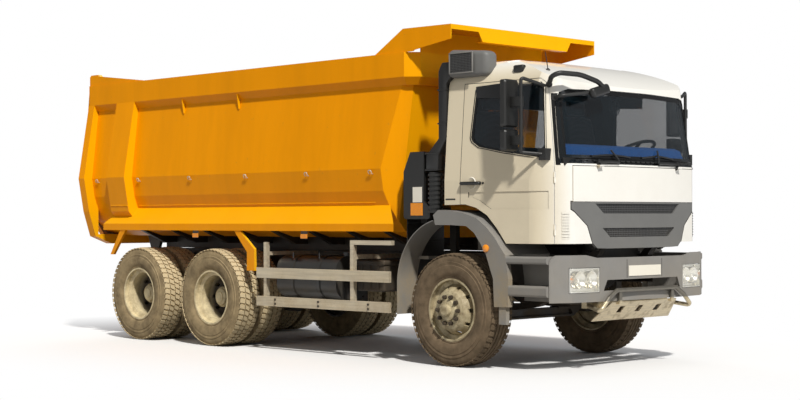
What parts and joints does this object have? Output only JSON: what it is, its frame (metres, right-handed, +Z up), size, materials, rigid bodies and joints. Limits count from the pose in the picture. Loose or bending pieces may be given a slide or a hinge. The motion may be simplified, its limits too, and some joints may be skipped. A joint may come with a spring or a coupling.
{
  "type": "dump truck",
  "caption": "Cab-over tipper truck with a half-pipe steel bed that tips to the rear, top-hung tailgate, front hoist, tilting cab, opening doors and steered front wheels",
  "frame": {"origin": "Centre of the footprint at ground level, midway between the frontmost and rearmost points", "axes": "+X forward, +Y to the truck's left, +Z up"},
  "size_m": [7.66, 2.71, 3.25],
  "materials": {
    "tyre": "rubber, dusty",
    "wheel_cream": "cream enamel",
    "frame_dark": "satin chassis paint",
    "engine_iron": "bare casting",
    "cab_white": "gloss enamel",
    "trim_grey": "moulded grey",
    "black_plastic": "moulded black",
    "glass": "clear, slightly green",
    "lamp_glass": "clear lens",
    "bed_orange": "gloss enamel",
    "seat_fabric": "woven",
    "tank_grey": "satin",
    "guard_metal": "dull, dusty",
    "hoist_metal": "satin grey",
    "rod_chrome": "ground and polished",
    "skid_silver": "brushed"
  },
  "bodies": {
    "chassis": {"ladder_frame": "frame_dark", "powertrain": "engine_iron", "radiator": "black_plastic", "frame_brackets": "frame_dark", "axles": "frame_dark", "leaf_springs": "frame_dark", "fuel_tank": "tank_grey", "battery_and_air_tanks": "frame_dark", "side_guards": "guard_metal", "bumper": "trim_grey", "headlamps": "lamp_glass", "under_guard": "skid_silver", "entry_steps": "trim_grey", "front_arches": "trim_grey", "air_filter": "black_plastic", "rear_bar": "frame_dark"},
    "cab": {"cab_roof": "cab_white", "cab_rear_panel": "cab_white", "cab_front_panel": "cab_white", "cab_glass": "glass", "cab_floor": "frame_dark", "dashboard": "black_plastic", "seats": "seat_fabric", "snorkel": "black_plastic"},
    "steering_wheel": {"steering_wheel": "black_plastic"},
    "door_right": {"door_right": "cab_white", "door_glass_right": "glass", "mirrors_right": "black_plastic"},
    "door_left": {"door_left": "cab_white", "door_glass_left": "glass", "mirrors_left": "black_plastic"},
    "front_flap": {"flap_panel": "cab_white", "grille": "trim_grey"},
    "knuckle_right": {"knuckle_right": "frame_dark"},
    "knuckle_left": {"knuckle_left": "frame_dark"},
    "tie_rod": {"tie_rod": "frame_dark"},
    "wheel_front_right": {"tyre_front_right": "tyre", "rim_front_right": "wheel_cream"},
    "wheel_front_left": {"tyre_front_left": "tyre", "rim_front_left": "wheel_cream"},
    "bed": {"bed_tub": "bed_orange", "bed_rails": "bed_orange", "bed_ribs": "bed_orange", "bed_ledges": "bed_orange", "bed_canopy": "bed_orange", "bed_subframe": "frame_dark"},
    "tailgate": {"tailgate": "bed_orange"},
    "hoist_barrel": {"hoist_barrel": "hoist_metal"},
    "hoist_stage_1": {"hoist_stage_1": "rod_chrome"},
    "hoist_stage_2": {"hoist_stage_2": "rod_chrome"},
    "hoist_stage_3": {"hoist_stage_3": "rod_chrome"},
    "hoist_stage_4": {"hoist_stage_4": "rod_chrome"},
    "wheel_rear_1_right": {"tyres_rear_1_right": "tyre", "rims_rear_1_right": "wheel_cream"},
    "wheel_rear_1_left": {"tyres_rear_1_left": "tyre", "rims_rear_1_left": "wheel_cream"},
    "wheel_rear_2_right": {"tyres_rear_2_right": "tyre", "rims_rear_2_right": "wheel_cream"},
    "wheel_rear_2_left": {"tyres_rear_2_left": "tyre", "rims_rear_2_left": "wheel_cream"}
  },
  "joints": [
    {"name": "cab_tilt", "type": "hinge", "parent": "chassis", "child": "cab", "pos_m": [3.595, 0, 1.138], "axis": [0, 1, 0], "range_deg": [0, 55]},
    {"name": "door_right_swing", "type": "hinge", "parent": "cab", "child": "door_right", "pos_m": [3.563, -1.04, 1.165], "axis": [0, 0, 1], "range_deg": [0, 68]},
    {"name": "door_left_swing", "type": "hinge", "parent": "cab", "child": "door_left", "pos_m": [3.563, 1.04, 1.165], "axis": [0, 0, -1], "range_deg": [0, 68]},
    {"name": "flap_lift", "type": "hinge", "parent": "cab", "child": "front_flap", "pos_m": [3.751, 0, 1.868], "axis": [0, -1, 0], "range_deg": [0, 75]},
    {"name": "steer_left", "type": "hinge", "parent": "chassis", "child": "knuckle_left", "pos_m": [2.41, 0.855, 0.535], "axis": [0, 0, 1], "range_deg": [-38, 38]},
    {"name": "steer_right", "type": "hinge", "parent": "chassis", "child": "knuckle_right", "pos_m": [2.41, -0.855, 0.535], "axis": [0, 0, 1], "range_deg": [-38, 38]},
    {"name": "tie_rod_swing", "type": "hinge", "parent": "knuckle_left", "child": "tie_rod", "pos_m": [2.21, 0.855, 0.413], "axis": [0, 0, 1], "range_deg": [-38, 38]},
    {"name": "steering_turn", "type": "hinge", "parent": "cab", "child": "steering_wheel", "pos_m": [3.17, 0.64, 2.05], "axis": [-0.4191, 0, 0.908], "range_deg": [-684, 684]},
    {"name": "wheel_front_right_spin", "type": "hinge", "parent": "knuckle_right", "child": "wheel_front_right", "pos_m": [2.41, -1.04, 0.535], "axis": [0, 1, 0], "continuous": true},
    {"name": "wheel_front_left_spin", "type": "hinge", "parent": "knuckle_left", "child": "wheel_front_left", "pos_m": [2.41, 1.04, 0.535], "axis": [0, 1, 0], "continuous": true},
    {"name": "wheel_rear_1_right_spin", "type": "hinge", "parent": "chassis", "child": "wheel_rear_1_right", "pos_m": [-1.19, -0.925, 0.535], "axis": [0, 1, 0], "continuous": true},
    {"name": "wheel_rear_1_left_spin", "type": "hinge", "parent": "chassis", "child": "wheel_rear_1_left", "pos_m": [-1.19, 0.925, 0.535], "axis": [0, 1, 0], "continuous": true},
    {"name": "wheel_rear_2_right_spin", "type": "hinge", "parent": "chassis", "child": "wheel_rear_2_right", "pos_m": [-2.54, -0.925, 0.535], "axis": [0, 1, 0], "continuous": true},
    {"name": "wheel_rear_2_left_spin", "type": "hinge", "parent": "chassis", "child": "wheel_rear_2_left", "pos_m": [-2.54, 0.925, 0.535], "axis": [0, 1, 0], "continuous": true},
    {"name": "bed_tip", "type": "hinge", "parent": "chassis", "child": "bed", "pos_m": [-3.21, 0, 1], "axis": [0, -1, 0], "range_deg": [0, 45]},
    {"name": "tailgate_swing", "type": "hinge", "parent": "bed", "child": "tailgate", "pos_m": [-3.63, 0, 3.088], "axis": [0, 1, 0], "range_deg": [0, 70]},
    {"name": "hoist_swing", "type": "hinge", "parent": "chassis", "child": "hoist_barrel", "pos_m": [2.04, 0, 1.1], "axis": [0, -1, 0], "range_deg": [0, 29.4]},
    {"name": "hoist_stage_1_slide", "type": "slide", "parent": "hoist_barrel", "child": "hoist_stage_1", "axis": [0, 0, 1], "range_m": [0, 0.9856]},
    {"name": "hoist_stage_2_slide", "type": "slide", "parent": "hoist_stage_1", "child": "hoist_stage_2", "axis": [0, 0, 1], "range_m": [0, 0.9856]},
    {"name": "hoist_stage_3_slide", "type": "slide", "parent": "hoist_stage_2", "child": "hoist_stage_3", "axis": [0, 0, 1], "range_m": [0, 0.9856]},
    {"name": "hoist_stage_4_slide", "type": "slide", "parent": "hoist_stage_3", "child": "hoist_stage_4", "axis": [0, 0, 1], "range_m": [0, 0.9856]}
  ],
  "couplings": [
    {"joint": "steer_right", "follows": "steer_left", "ratio": 1},
    {"joint": "tie_rod_swing", "follows": "steer_left", "ratio": -1},
    {"joint": "steering_turn", "follows": "steer_left", "ratio": 18},
    {"joint": "hoist_swing", "follows": "bed_tip", "ratio": 0.6527},
    {"joint": "hoist_stage_1_slide", "follows": "bed_tip", "m_per_rad": 1.2548},
    {"joint": "hoist_stage_2_slide", "follows": "bed_tip", "m_per_rad": 1.2548},
    {"joint": "hoist_stage_3_slide", "follows": "bed_tip", "m_per_rad": 1.2548},
    {"joint": "hoist_stage_4_slide", "follows": "bed_tip", "m_per_rad": 1.2548}
  ]
}
